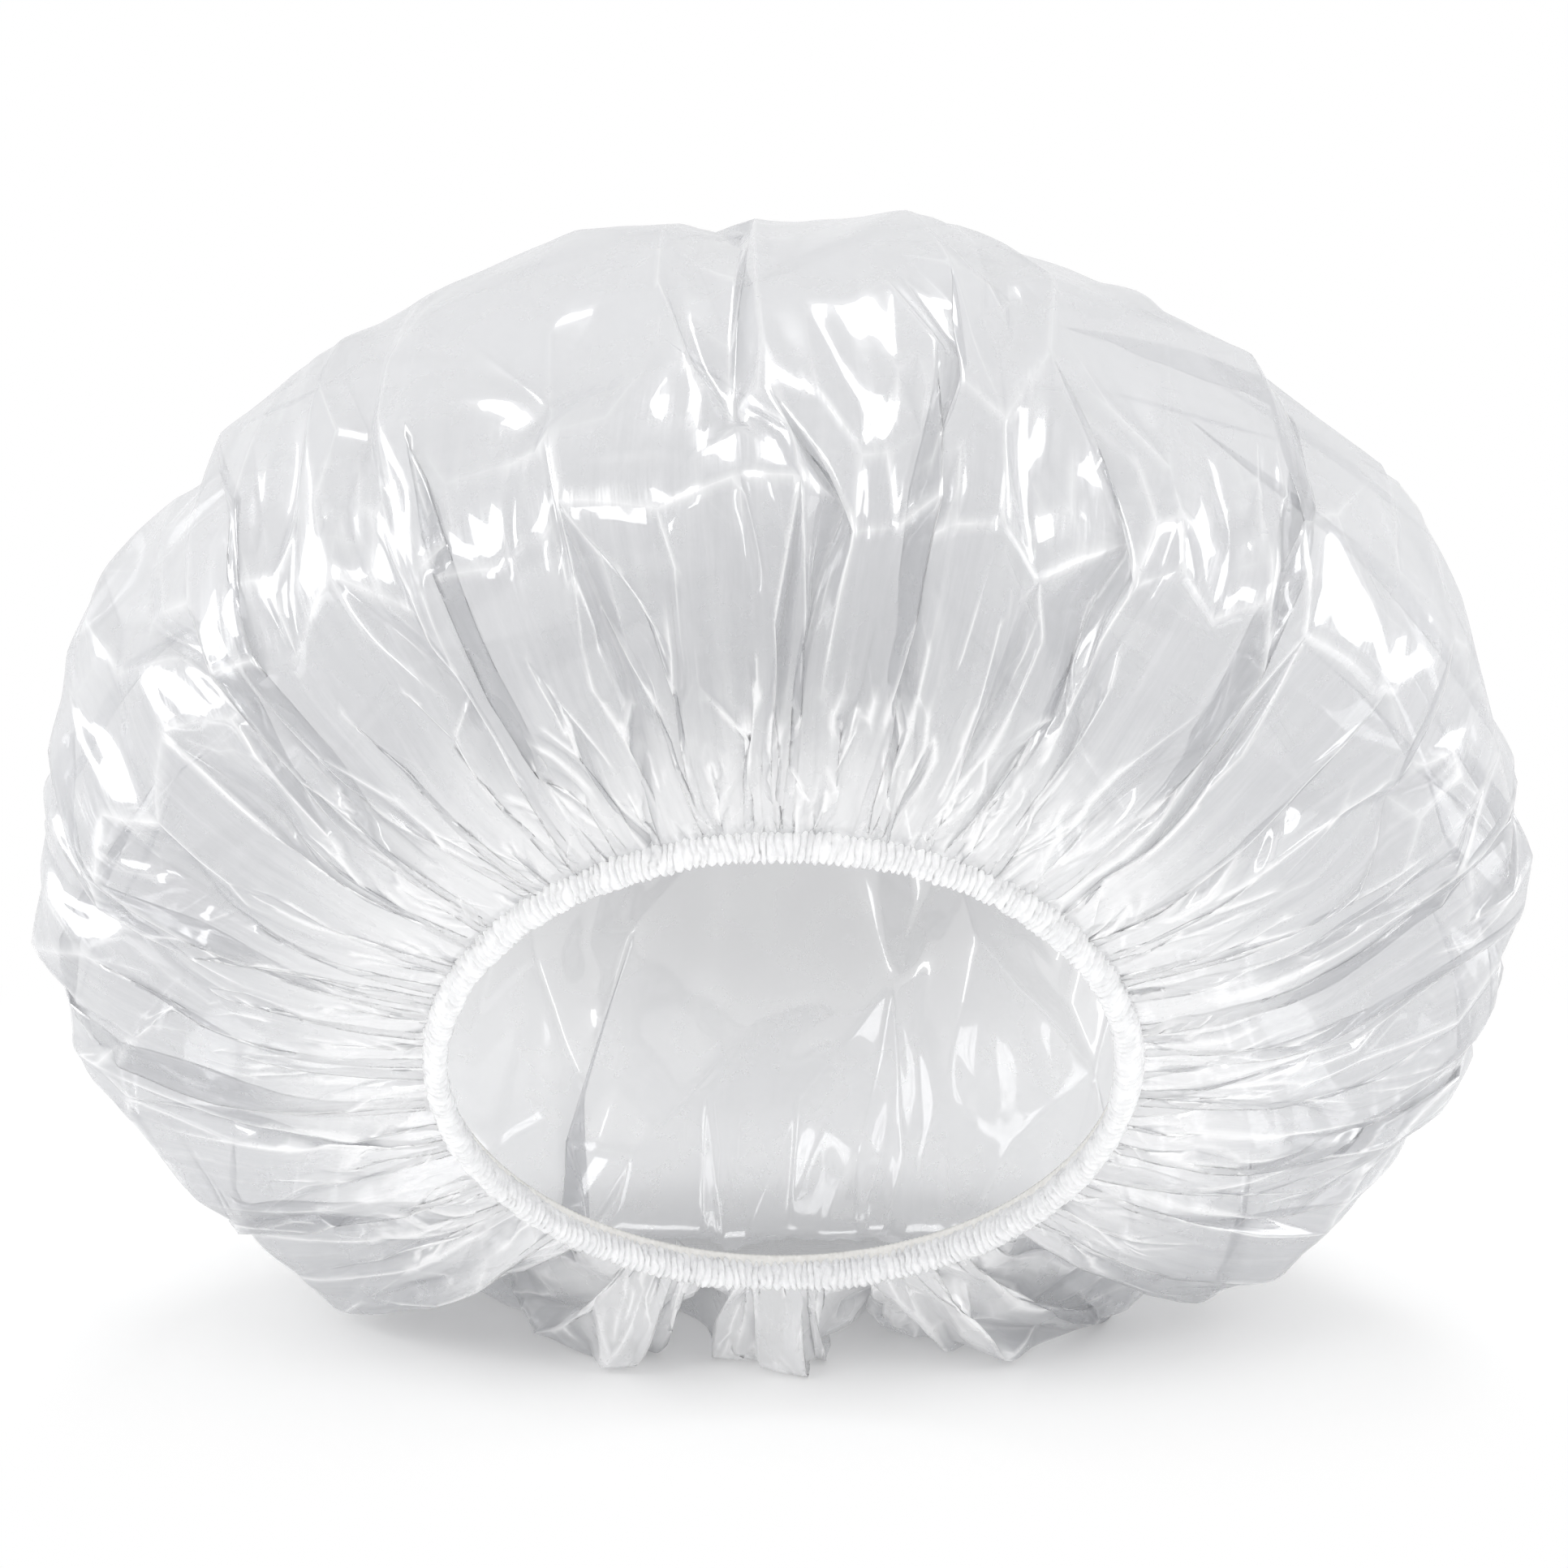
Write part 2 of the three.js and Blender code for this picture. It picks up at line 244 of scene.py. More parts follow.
# %% [markdown]
# The world is white where the camera, a reflection or the clear film looks at it, and dimmer where
# it lights the cap, so that the soft boxes shape the folds.

# %% World
WORLD_FILL = 0.55
world = bpy.data.worlds.new("white_room")
world.use_nodes = True
world.node_tree.nodes.clear()


def world_node(kind, settings=None, sockets=None, out=0):
    return add_node(world.node_tree, kind, settings, sockets, out)


looked_at = looked_at_by(world_node("ShaderNodeLightPath"))
room = world_node("ShaderNodeBackground", sockets={
    "Color": grey(1.0),
    "Strength": WORLD_FILL + (1.0 - WORLD_FILL) * looked_at,
})
world_node("ShaderNodeOutputWorld", sockets={"Surface": room})
scene.world = world
print("world fill:", WORLD_FILL)

# %% [markdown]
# Clear film is seen by what it mirrors. Five soft boxes stand to the left, the right, above and in
# front, so that flat facets flash white and the film between them stays an even pale grey. Two
# upright strips in front draw thin glints, and two low ones at the sides light the gathers.

# %% Soft boxes
LAMP_AIM = Vector((0.0, 0.0, 0.1))
# Name, place, width, height and glow
SOFT_BOXES = [
    ("left_box", (-1.15, 0.15, 0.42), 0.75, 0.50, 4.5),
    ("right_box", (1.15, 0.10, 0.42), 0.65, 0.45, 3.5),
    ("top_box", (0.05, 0.15, 1.25), 0.60, 0.35, 6.0),
    ("front_left_box", (-0.70, -0.80, 0.85), 0.40, 0.40, 4.5),
    ("front_right_box", (0.75, -0.75, 0.80), 0.40, 0.35, 4.5),
    ("left_strip", (-0.38, -1.05, 0.26), 0.10, 0.45, 4.8),
    ("right_strip", (0.42, -1.05, 0.26), 0.10, 0.45, 4.6),
    ("left_low_strip", (-0.66, -0.30, 0.07), 0.50, 0.09, 1.1),
    ("right_low_strip", (0.66, -0.28, 0.07), 0.50, 0.09, 1.0),
]

for name, place, width, height, glow in SOFT_BOXES:
    light = bpy.data.lights.new(name, "AREA")
    light.shape = "RECTANGLE"
    light.size = width
    light.size_y = height
    light.energy = glow * math.pi * width * height
    lamp = bpy.data.objects.new(name, light)
    lamp.location = place
    lamp.rotation_euler = (LAMP_AIM - Vector(place)).to_track_quat("-Z", "Y").to_euler()
    lamp.visible_camera = False
    scene.collection.objects.link(lamp)
print("soft boxes:", len(SOFT_BOXES))

# %% [markdown]
# The film without its folds is a surface of revolution: a short skirt that flares out from the
# hem and a deep crown. A table of the meridian gives the radius, the height and the normal at
# each distance from the hem, so that a point of the flat disc knows where on the cap it goes.
# It also gives a way, which runs from 0 at the hem, by 1 at the widest part, to 2 at the top.

# %% Cap without folds
RING_RADIUS = 0.056
EDGE_RADIUS = 0.0575
LIP_RADIUS = 0.0614
EQUATOR_RADIUS = 0.1225
SKIRT_DEPTH = 0.038
CROWN_DEPTH = 0.093
LEAN = math.radians(31.4)
MERIDIAN_STEPS = 400
EDGE_STEPS = 20
mounts = {mount["name"]: mount for mount in frame["record"]["mounts"]}
RING_CENTRE = np.array(mounts["head_opening"]["pos_m"])


def meridian_table():
    bend = np.linspace(0, np.pi / 2, MERIDIAN_STEPS)
    edge = np.linspace(EDGE_RADIUS, LIP_RADIUS, EDGE_STEPS)[:-1]
    skirt_radius = LIP_RADIUS + (EQUATOR_RADIUS - LIP_RADIUS) * np.sin(bend)
    skirt_height = SKIRT_DEPTH * (1 - np.cos(bend))
    crown_height = SKIRT_DEPTH + CROWN_DEPTH * np.sin(bend)[1:]
    radius = np.r_[edge, skirt_radius, EQUATOR_RADIUS * np.cos(bend)[1:]]
    height = np.r_[0 * edge, skirt_height, crown_height]
    length = np.r_[0, np.cumsum(np.hypot(np.diff(radius), np.diff(height)))]
    slope_r = np.gradient(radius, length)
    slope_z = np.gradient(height, length)
    size = np.hypot(slope_r, slope_z)
    way = np.r_[0 * edge, bend / (np.pi / 2), 1 + bend[1:] / (np.pi / 2)]
    return length, radius, height, slope_z / size, -slope_r / size, way


LENGTHS, RADII, HEIGHTS, NORMAL_R, NORMAL_Z, WAYS = meridian_table()
FILM_RADIUS = LENGTHS[-1]


def ease(x, low, high):
    t = np.clip((x - low) / (high - low), 0, 1)
    return t * t * (3 - 2 * t)


def round_form(flat):
    rho = np.hypot(flat[:, 0], flat[:, 1])
    s = np.clip(FILM_RADIUS - rho, 0, FILM_RADIUS)
    u = flat / np.maximum(rho, 1e-9)[:, None]
    normal_r = np.interp(s, LENGTHS, NORMAL_R)
    normal_z = np.interp(s, LENGTHS, NORMAL_Z)
    normal = np.c_[u * normal_r[:, None], normal_z]
    along = np.c_[-u * normal_z[:, None], normal_r]
    point = np.c_[u * np.interp(s, LENGTHS, RADII)[:, None], np.interp(s, LENGTHS, HEIGHTS)]
    return point, normal, along, s, np.arctan2(u[:, 0], u[:, 1])


print("film disc:", round(2 * FILM_RADIUS, 3), "m across")

# %% [markdown]
# Stiff film doesn't puff into a round dome: it hangs from a few corners and lies flat between them,
# so its outline has corners too. The flats are the planes of the corners' hull. The corners that
# show were read off, in degrees from the lowest line of the cap and as ways. Loose rows of them
# fill the far side.

# %% Flats between corners
FRONT_CORNERS = [
    (-161, 1.29), (172, 1.14), (164, 1.42), (146, 1.20), (123, 1.22), (109, 1.08), (93.5, 0.96),
    (78.5, 0.84), (66, 0.76), (49.5, 0.66), (-56, 0.69), (-72, 0.79), (-84, 0.88), (-96, 0.98),
    (-114, 1.13), (-140, 1.20), (-176, 0.68), (163, 0.72), (131, 0.79), (113, 0.70), (-152, 0.74),
    (-124, 0.66), (-107, 0.58)]
# Way, count and reach in degrees of each row
CORNER_ROWS = [
    (0.10, 15, 168), (0.64, 4, 34), (1.02, 6, 62), (1.36, 8, 122), (1.62, 9, 160), (1.84, 5, 144)]
CORNER_DRIFT = 6
CORNER_WAY_DRIFT = 0.04
CORNER_STAND = 0.0034
FLAT_DEPTH = 0.006
LEAST_FACING = 0.2
FLAT_RISE = (0.10, 0.45)


def corner_points():
    corners = list(FRONT_CORNERS)
    for row, (way, count, reach) in enumerate(CORNER_ROWS):
        for k in range(count):
            even = reach * (2 * k / (count - 1) - 1)
            drift = CORNER_DRIFT * math.sin(3 * k + 5 * row)
            corners.append((even + drift, way + CORNER_WAY_DRIFT * math.sin(7 * k + row)))
    beta, way = np.array(corners).T
    beta = np.radians(beta)
    rho = FILM_RADIUS - np.interp(way, WAYS, LENGTHS)
    point, normal, _, _, _ = round_form(rho[:, None] * np.c_[np.sin(beta), np.cos(beta)])
    return point + CORNER_STAND * normal


def flat_planes(corners):
    normals = []
    offsets = []
    for i, j in itertools.combinations(range(len(corners)), 2):
        tilt = np.cross(corners[j] - corners[i], corners[j + 1:] - corners[i])
        tilt = tilt / np.linalg.norm(tilt, axis=1)[:, None]
        reach = tilt @ (corners - corners[i]).T
        for side in (1, -1):
            holds = (side * reach < 1e-9).all(1)
            normals += list(side * tilt[holds])
            offsets += list(side * tilt[holds] @ corners[i])
    return np.array(normals), np.array(offsets)


FLAT_NORMALS, FLAT_OFFSETS = flat_planes(corner_points())


def flat_stand(point, normal, way):
    towards = normal @ FLAT_NORMALS.T
    gap = FLAT_OFFSETS - point @ FLAT_NORMALS.T
    stand = np.where(towards > LEAST_FACING, gap / np.maximum(towards, LEAST_FACING), CORNER_STAND)
    return np.clip(stand.min(1), -FLAT_DEPTH, CORNER_STAND) * ease(way, *FLAT_RISE)


print("flats:", len(FLAT_NORMALS))

# %% [markdown]
# Creases run from the hem up into the crown, and the film swells between them. Below the opening it
# is slack: it sags there and hangs in a frill of deep lobes. Elsewhere the creases are shallow, and
# the lower sides are a little fuller than round.

# %% Folds and frill
NOTCHES = np.radians([-166, -142, -119, -97, -76, -54, -31.5, -11.5, 11, 38, 61, 84, 107, 131, 155])
FOLD_HEIGHT = 0.002
FRILL_DEPTH = 0.0215
LOBE_FOLD_DEPTH = 0.005
FOLDS_PER_LOBE = 3
FULLNESS = 0.75
FOLD_SHARE_IN = 0.65
FRILL_SHARE_IN = 0.90
SAG = 0.0065
SAG_POWER = 6
SIDE_FILL = 0.003
# Where each form sets in and dies out, as ways
FRILL_RISE, FRILL_FALL = (0, 0.2), (0.34, 0.8)
FOLD_RISE, FOLD_FALL = (0, 0.5), (0.4, 1.45)
SAG_RISE, SAG_FALL = (0, 0.3), (0.3, 1)
SIDE_RISE, SIDE_FALL = (0.15, 0.6), (0.9, 1.3)
# The same round the cap, as cosines and as degrees from its lowest line
SLACK_COSINES = (0.55, 0.88)
SIDE_FROM, SIDE_TO = (30, 60), (78, 98)


def folds(beta, way):
    first = np.searchsorted(NOTCHES, beta) % len(NOTCHES)
    low = NOTCHES[first - 1]
    width = (NOTCHES[first] - low) % (2 * np.pi)
    phase = np.pi * ((beta - low) % (2 * np.pi)) / width
    swell = np.sin(phase) ** FULLNESS
    lobe_fold = np.abs(np.sin(FOLDS_PER_LOBE * phase)) ** FULLNESS
    slack = ease(np.cos(beta), *SLACK_COSINES)
    frill_range = ease(way, *FRILL_RISE) * (1 - ease(way, *FRILL_FALL))
    frill = slack * frill_range * (
        FRILL_DEPTH * (swell - FRILL_SHARE_IN) + LOBE_FOLD_DEPTH * (lobe_fold - FRILL_SHARE_IN))
    fold_range = ease(way, *FOLD_RISE) * (1 - ease(way, *FOLD_FALL))
    return frill + FOLD_HEIGHT * (1 - slack) * fold_range * (swell - FOLD_SHARE_IN)


def place_on_cap(flat):
    point, normal, along, s, beta = round_form(flat)
    way = np.interp(s, LENGTHS, WAYS)
    sag = SAG * np.maximum(0, np.cos(beta)) ** SAG_POWER
    sag = sag * ease(way, *SAG_RISE) * (1 - ease(way, *SAG_FALL))
    lean = np.degrees(np.abs(beta))
    side = SIDE_FILL * ease(lean, *SIDE_FROM) * (1 - ease(lean, *SIDE_TO))
    side = side * ease(way, *SIDE_RISE) * (1 - ease(way, *SIDE_FALL))
    stand = sag + side + folds(beta, way) + flat_stand(point, normal, way)
    return point + normal * stand[:, None], normal, along, s


print("creases:", len(NOTCHES))

# %% [markdown]
# A cloth solver would smooth the creases away, because film bends as sharply as paper. So the
# film is a net of triangles whose sides keep their lengths while their corners stay close to the
# cap. The net starts with hundreds of columns at the hem, which join in pairs on their way to the
# crown, as real gathers run together. The seed is fixed, so each run gives the same folds.

# %% Columns that join, and rings zipped together
chance = np.random.default_rng(4)
JOIN_CHANCE = (0.6, 1.6)


def join_columns(angles, heights, wanted):
    while len(angles) > wanted:
        count = len(angles)
        spread = (np.roll(angles, -1) - np.roll(angles, 1)) % (2 * np.pi)
        k = int(np.argmin(spread * chance.uniform(*JOIN_CHANCE, count)))
        low, high = (k - 1) % count, (k + 1) % count
        angles[k] = (angles[low] + spread[k] / 2) % (2 * np.pi)
        heights[k] = heights[low]
        angles = np.delete(angles, [low, high])
        heights = np.delete(heights, [low, high])
        order = np.argsort(angles)
        angles, heights = angles[order], heights[order]
    return angles, heights


def zip_rings(a, first_a, b, first_b):
    shift = int(np.argmin(np.abs(np.angle(np.exp(1j * (b - a[0]))))))
    b = np.r_[b[shift:], b[:shift] + 2 * np.pi]
    b = b - (b[0] - np.angle(np.exp(1j * (b[0] - a[0]))) - a[0])
    order = (np.arange(len(b)) + shift) % len(b)
    a_next = np.r_[a[1:], a[0] + 2 * np.pi]
    b_next = np.r_[b[1:], b[0] + 2 * np.pi]
    i, j, faces = 0, 0, []
    while i < len(a) or j < len(b):
        here, there = first_a + i % len(a), first_b + order[j % len(b)]
        if j == len(b) or (i < len(a) and a_next[i] <= b_next[j]):
            faces.append((here, first_a + (i + 1) % len(a), there))
            i += 1
        else:
            faces.append((here, first_b + order[(j + 1) % len(b)], there))
            j += 1
    return faces


def net_of(rings):
    flat = [rho[:, None] * np.c_[np.cos(a), np.sin(a)] for a, rho in rings]
    flat = np.concatenate(flat + [np.zeros((1, 2))])
    start = np.cumsum([0] + [len(a) for a, _ in rings])
    faces = []
    for k in range(len(rings) - 1):
        faces += zip_rings(rings[k][0], start[k], rings[k + 1][0], start[k + 1])
    last = len(rings[-1][0])
    faces += [(start[-2] + i, start[-2] + (i + 1) % last, len(flat) - 1) for i in range(last)]
    return flat, np.array(faces)


# %% Net of the flat disc
# Distance from the hem in metres, and how many columns of corners go round there
NET_RINGS = [
    (0.000, 340), (0.004, 336), (0.009, 316), (0.015, 276), (0.022, 228), (0.030, 180), (0.041, 132),
    (0.058, 98), (0.086, 76), (0.118, 60), (0.150, 46), (0.180, 30), (0.208, 16), (0.234, 8)]
FIRST_ANGLE = 0.02
# Drifts as shares of the step to the next column or ring
HEM_DRIFT = 0.2
COLUMN_DRIFT = 0.12
RING_DRIFT = 0.36
# Heights at the start as shares of the fold depth, and how many columns get a fresh one, and where
HEIGHT_OUT, HEIGHT_IN = 0.25, -1.0
FRESH_HEIGHTS = (-1.0, 0.3)
FRESH_SHARE = 0.08
FRESH_RISE = (0.05, 0.10)


def gathered_net():
    count = NET_RINGS[0][1]
    drift = chance.uniform(-HEM_DRIFT, HEM_DRIFT, count)
    angles = (np.arange(count) + drift) * 2 * np.pi / count + FIRST_ANGLE
    heights = np.where(np.arange(count) % 2, HEIGHT_OUT, HEIGHT_IN)
    rings, starts = [], []
    for k, (s, wanted) in enumerate(NET_RINGS):
        angles, heights = join_columns(angles, heights, wanted)
        count = len(angles)
        step = 2 * np.pi / count
        angles = angles + chance.uniform(-COLUMN_DRIFT, COLUMN_DRIFT, count) * step * (k > 0)
        fresh = chance.uniform(size=count) < FRESH_SHARE * ease(s, *FRESH_RISE)
        heights = np.where(fresh, chance.uniform(*FRESH_HEIGHTS, count), heights)
        reach = (s - NET_RINGS[k - 1][0]) * (k > 0)
        rho = FILM_RADIUS - s - chance.uniform(-RING_DRIFT, RING_DRIFT, count) * reach
        rings.append((angles, rho))
        starts.append(heights)
    flat, faces = net_of(rings)
    return flat, faces, np.concatenate(starts + [np.zeros(1)])


flat_net, net_faces, net_heights = gathered_net()
print("net:", len(flat_net), "points,", len(net_faces), "faces")

# %% [markdown]
# The sides of the triangles are listed once each. Cutting every triangle in four adds a corner in
# the middle of each side; a triangle at the border of what is cut gets only the one that it shares.

# %% Sides, and cutting finer
def sides_of(faces):
    pairs = np.sort(np.concatenate([faces[:, [0, 1]], faces[:, [1, 2]], faces[:, [2, 0]]]), axis=1)
    sides, which = np.unique(pairs, axis=0, return_inverse=True)
    return sides, which.reshape(3, -1).T


def cut_in_four(flat, points, faces, beyond=-1.0):
    sides, which = sides_of(faces)
    chosen = (FILM_RADIUS - np.hypot(flat[:, 0], flat[:, 1]) > beyond)[sides].all(1)
    number = len(flat) + np.cumsum(chosen) - 1
    middles = sides[chosen]
    flat = np.r_[flat, flat[middles].mean(1)]
    points = np.r_[points, points[middles].mean(1)]
    hits = chosen[which].sum(1)
    a, b, c = faces[hits == 3].T
    ab, bc, ca = number[which[hits == 3]].T
    cut = [faces[hits == 0], np.c_[a, ab, ca], np.c_[ab, b, bc], np.c_[ca, bc, c], np.c_[ab, bc, ca]]
    for turn in range(3):
        single = (hits == 1) & chosen[which[:, turn]]
        a, b, c = np.roll(faces[single], -turn, axis=1).T
        middle = number[which[single, turn]]
        cut += [np.c_[a, middle, c], np.c_[middle, b, c]]
    return flat, points, np.concatenate(cut)


def gather_up(count, where, moves):
    return np.stack([np.bincount(where, moves[:, k], count) for k in range(3)], 1)


# %% [markdown]
# The net is laid on the cap with its corners a little in or out at random. Then each side pulls or
# pushes its ends until it has its own length again, and a clamp keeps every corner near the flats.
# Round the cap the film is longer than the cap, most of all at the hem, so it has to fold. Cutting
# it finer and doing it again adds smaller folds on the large ones.

# %% Folding the film
FOLD_STAND = 0.0020
PULL_SHARE = 0.75
SLIDE_SHARE = 0.05
RADIAL_SURPLUS = 1.004
FLAT_SURPLUS = 1.003
KEPT_FLAT_FROM, KEPT_FLAT_TO = 0.030, 0.080
FIRST_ROUNDS = 800
FIRST_PUFF = 0.00002
FINER_ROUNDS = 200
FINER_NOISE = (0.00030, 0.00010)


# How many times longer than the cap the film is, round it, at a distance s from the hem
def surplus(s):
    return 1.045 + 0.34 * np.exp(-(s / 0.105) ** 2) + 1.5 * np.exp(-s / 0.012)


# How far a fold may sink in there, in metres
def fold_depth(s):
    return 0.0034 + 0.0022 * ease(s, 0.004, 0.035) - 0.0026 * ease(s, 0.05, 0.11)


def cut_lengths(flat, sides):
    step = flat[sides[:, 1]] - flat[sides[:, 0]]
    on_cap = place_on_cap(flat)[0]
    chord = np.linalg.norm(on_cap[sides[:, 1]] - on_cap[sides[:, 0]], axis=1)
    middle = flat[sides].mean(1)
    rho = np.maximum(np.hypot(middle[:, 0], middle[:, 1]), 1e-6)
    u = middle / rho[:, None]
    s = np.clip(FILM_RADIUS - rho, 0, FILM_RADIUS)
    outward = (step * u).sum(1)
    round_way = (step[:, 1] * u[:, 0] - step[:, 0] * u[:, 1]) / rho
    around = round_way * np.interp(s, LENGTHS, RADII)
    return chord * np.hypot(RADIAL_SURPLUS * outward, around * surplus(s)) / np.hypot(outward, around)


def fold(flat, points, faces, rounds, puff=0.0, keep_flats=False):
    sides, _ = sides_of(faces)
    wanted = cut_lengths(flat, sides)
    if keep_flats:
        now = np.linalg.norm(points[sides[:, 1]] - points[sides[:, 0]], axis=1)
        s_side = FILM_RADIUS - np.linalg.norm(flat[sides].mean(1), axis=1)
        crown = ease(s_side, KEPT_FLAT_FROM, KEPT_FLAT_TO)
        wanted = wanted * (1 - crown) + FLAT_SURPLUS * now * crown
    count = len(flat)
    ends = np.r_[sides[:, 0], sides[:, 1]]
    valence = np.bincount(ends, minlength=count).astype(float)[:, None]
    point, normal, along, s = place_on_cap(flat)
    deepest = -fold_depth(s)
    for _ in range(rounds):
        step = points[sides[:, 1]] - points[sides[:, 0]]
        length = np.sqrt((step * step).sum(1))
        pull = step * (PULL_SHARE * (1 - wanted / np.maximum(length, 1e-9)))[:, None]
        points = points + gather_up(count, ends, np.r_[pull, -pull]) / valence
        stand = ((points - point) * normal).sum(1) + puff
        slide = ((points - point) * along).sum(1)
        hold = np.clip(stand, deepest, FOLD_STAND) - stand + puff
        points = points + normal * hold[:, None] - along * (SLIDE_SHARE * slide)[:, None]
    step = points[sides[:, 1]] - points[sides[:, 0]]
    error = np.sqrt((step * step).sum(1)) / wanted - 1
    print("folded", len(faces), "faces, length error", round(float(np.sqrt((error ** 2).mean())), 3))
    return points


def crease_noise(flat, points, size):
    normal = place_on_cap(flat)[1]
    return points + normal * chance.normal(0, size, len(flat))[:, None]


film_points, film_normals, _, film_s = place_on_cap(flat_net)
film_start = net_heights * fold_depth(film_s)
film_points = film_points + film_normals * film_start[:, None]
film_flat, film_faces = flat_net, net_faces
film_points = fold(film_flat, film_points, film_faces, FIRST_ROUNDS, puff=FIRST_PUFF)
for size in FINER_NOISE:
    film_flat, film_points, film_faces = cut_in_four(film_flat, film_points, film_faces)
    film_points = crease_noise(film_flat, film_points, size)
    film_points = fold(film_flat, film_points, film_faces, FINER_ROUNDS, keep_flats=True)

# %% [markdown]
# Film lies flat between its creases. Neighbouring faces that nearly agree turn towards each other,
# and the points follow them, while faces that meet at a sharper angle keep their crease. One light
# smoothing then rounds the creases off by about a millimetre, which makes each a thin bright line.

# %% Flat facets and rounded creases
FINER_BEYOND = (0.030, 0.088)
FACET_ROUNDS = 8
FACET_LIKENESS = math.cos(math.radians(17))
FACET_RISE = (0.02, 0.05)
CREASE_ROUNDING = 0.40


def face_normals(points, faces):
    edges = points[faces[:, [1, 2, 0]]] - points[faces]
    normal = np.cross(edges[:, 0], edges[:, 1])
    return normal / np.maximum(np.linalg.norm(normal, axis=1), 1e-12)[:, None]


def face_pairs(faces):
    sides, which = sides_of(faces)
    owner = np.full((len(sides), 2), -1)
    for turn in range(3):
        fresh = owner[which[:, turn], 0] < 0
        owner[which[fresh, turn], 0] = np.flatnonzero(fresh)
    for turn in range(3):
        other = owner[which[:, turn], 0] != np.arange(len(faces))
        owner[which[other, turn], 1] = np.flatnonzero(other)
    pair = (owner >= 0).all(1)
    return sides[pair], owner[pair, 0], owner[pair, 1]


def flatten(points, faces, rounds, likeness, share):
    _, first, second = face_pairs(faces)
    normal = face_normals(points, faces)
    for _ in range(rounds):
        alike = (normal[first] * normal[second]).sum(1)
        weight = (np.maximum(alike - likeness, 0) / (1 - likeness))[:, None] ** 2
        where = np.r_[first, second]
        moves = np.r_[weight * normal[second], weight * normal[first]]
        normal = normal + gather_up(len(faces), where, moves)
        normal = normal / np.linalg.norm(normal, axis=1)[:, None]
    valence = np.bincount(faces.ravel(), minlength=len(points)).astype(float)[:, None]
    for _ in range(rounds):
        corners = points[faces]
        gap = ((corners.mean(1)[:, None] - corners) * normal[:, None]).sum(2)
        moves = (gap[:, :, None] * normal[:, None]).reshape(-1, 3)
        points = points + share[:, None] * gather_up(len(points), faces.ravel(), moves) / valence
    return points


def round_off(points, faces, share):
    sides, _ = sides_of(faces)
    ends = np.r_[sides[:, 0], sides[:, 1]]
    valence = np.bincount(ends, minlength=len(points)).astype(float)[:, None]
    around = gather_up(len(points), ends, points[np.r_[sides[:, 1], sides[:, 0]]]) / valence
    return points + share * (around - points)


for beyond in FINER_BEYOND:
    film_flat, film_points, film_faces = cut_in_four(film_flat, film_points, film_faces, beyond)
film_reach = FILM_RADIUS - np.linalg.norm(film_flat, axis=1)
facet_share = ease(film_reach, *FACET_RISE)
film_points = flatten(film_points, film_faces, FACET_ROUNDS, FACET_LIKENESS, facet_share)
film_points = round_off(film_points, film_faces, CREASE_ROUNDING)
print("film:", len(film_faces), "faces")

# %% [markdown]
# The film is leaned back and settled on the table: what would lie below the table is pressed flat
# on it. How sharply it bends at each point, outwards or inwards, is kept for its finish.

# %% Settled film and its bends
SETTLE_EASE = 0.004


def lean_back(points):
    across = points[:, 0]
    away = points[:, 1] * math.sin(LEAN) + points[:, 2] * math.cos(LEAN)
    up = -points[:, 1] * math.cos(LEAN) + points[:, 2] * math.sin(LEAN)
    return np.c_[across, away, up] + RING_CENTRE


def settle(points):
    z = points[:, 2]
    bend = (z + SETTLE_EASE) ** 2 / (4 * SETTLE_EASE)
    z = np.where(z > SETTLE_EASE, z, np.where(z < -SETTLE_EASE, 0, bend))
    return np.c_[points[:, :2], z]


def bends_of(points, faces):
    normal = face_normals(points, faces)
    sides, first, second = face_pairs(faces)
    middle = points[faces].mean(1)
    turned = np.linalg.norm(np.cross(normal[first], normal[second]), axis=1)
    inward = ((middle[second] - middle[first]) * normal[first]).sum(1)
    angle = np.arcsin(np.clip(turned, 0, 1)) * np.where(inward < 0, 1.0, -1.0)
    ridge = np.zeros(len(points))
    hollow = np.zeros(len(points))
    for end in range(2):
        np.maximum.at(ridge, sides[:, end], angle)
        np.minimum.at(hollow, sides[:, end], angle)
    return ridge, hollow


film_points = settle(lean_back(film_points))
film_ridge, film_hollow = bends_of(film_points, film_faces)
print("film box:", film_points.min(0).round(4), film_points.max(0).round(4))

# %% [markdown]
# Thin film mirrors about a tenth of the light, lets part of it through and scatters the rest, so
# it reads as a pale grey with white flashes. Its masks and noises are drawn on the flat disc, so
# they follow the film into its folds. The gathers at the hem and the frill have many layers and are
# whiter, and the frill is lightened further by painted light that lifts it out of its own shadow.
# The part of the crown behind the opening is greyer and the skirt a little greyer, both painted
# shade. Streaks run up the skirt, as dents and as painted highlight and shade.

# %% Masks of the clear film
DISC_MIDDLE = (0.5, 0.5, 0.0)
SHADE_MIDDLE = (0.5, 0.64, 0.0)
STREAK_SQUEEZE = (0.3, 0.3, 0.0)

clear = Finish("clear_film")
disc_map = clear.node("ShaderNodeUVMap", {"uv_map": "disc"})
haze = noise(clear, disc_map, scale=34.0, detail=5.0, roughness=0.6)
crinkle = noise(clear, disc_map, scale=150.0, detail=3.0, roughness=0.55)
facing = clear.node("ShaderNodeLayerWeight", sockets={"Blend": 0.5}, out="Facing")
crease_line = clear.node("ShaderNodeAttribute", {"attribute_name": "crease"}, out="Fac")
valley_line = clear.node("ShaderNodeAttribute", {"attribute_name": "valley"}, out="Fac")

